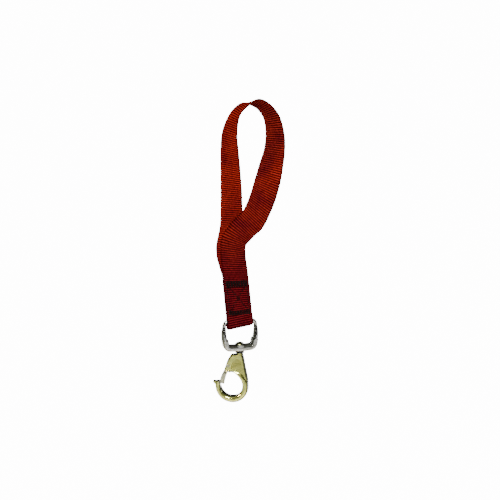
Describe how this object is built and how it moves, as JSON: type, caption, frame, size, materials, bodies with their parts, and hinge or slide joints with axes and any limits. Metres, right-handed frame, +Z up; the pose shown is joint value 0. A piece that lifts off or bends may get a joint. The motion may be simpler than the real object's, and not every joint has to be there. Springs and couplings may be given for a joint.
{
  "type": "webbing tether with swivel snap hook",
  "caption": "Short webbing hand loop sewn round a swivel eye that carries a spring-gated snap hook.",
  "frame": {"origin": "inside top of the hand loop, where a hand, peg or rail holds the strap", "axes": "+Z up along the hanging strap, +X towards the hook's spine side, -Y towards the sewn tab's front face"},
  "size_m": [0.0686, 0.0384, 0.2982],
  "materials": {
    "webbing": "red ribbed webbing",
    "thread": "black bonded thread",
    "eye_plating": "bright nickel plate",
    "hook_plating": "warm nickel plate over brass casting",
    "gate_plating": "bright nickel plate",
    "spring_steel": "spring wire"
  },
  "bodies": {
    "strap": {"webbing_strap": "webbing", "box_stitch_face": "thread", "box_stitch_back": "thread", "cross_stitch_face": "thread", "cross_stitch_back": "thread", "bar_tack_face": "thread", "bar_tack_back": "thread"},
    "eye": {"swivel_eye": "eye_plating"},
    "hook": {"hook_body": "hook_plating", "swivel_washer": "eye_plating", "gate_pin": "gate_plating", "gate_spring": "spring_steel"},
    "gate": {"gate": "gate_plating"}
  },
  "joints": [
    {"name": "eye_swing", "type": "hinge", "parent": "strap", "child": "eye", "pos_m": [-0.0121, -0.0122, -0.209], "axis": [0.8829, 0.4695, 0], "range_deg": [-75, 75]},
    {"name": "swivel", "type": "hinge", "parent": "eye", "child": "hook", "pos_m": [-0.0121, -0.0122, -0.236], "axis": [0, 0, 1], "continuous": true},
    {"name": "gate_hinge", "type": "hinge", "parent": "hook", "child": "gate", "pos_m": [-0.023, -0.0122, -0.2538], "axis": [0, -1, 0], "range_deg": [0, 30], "stiffness_Nm_per_rad": 0.15, "springref_deg": -20.05, "deforming": ["gate_spring"]}
  ]
}
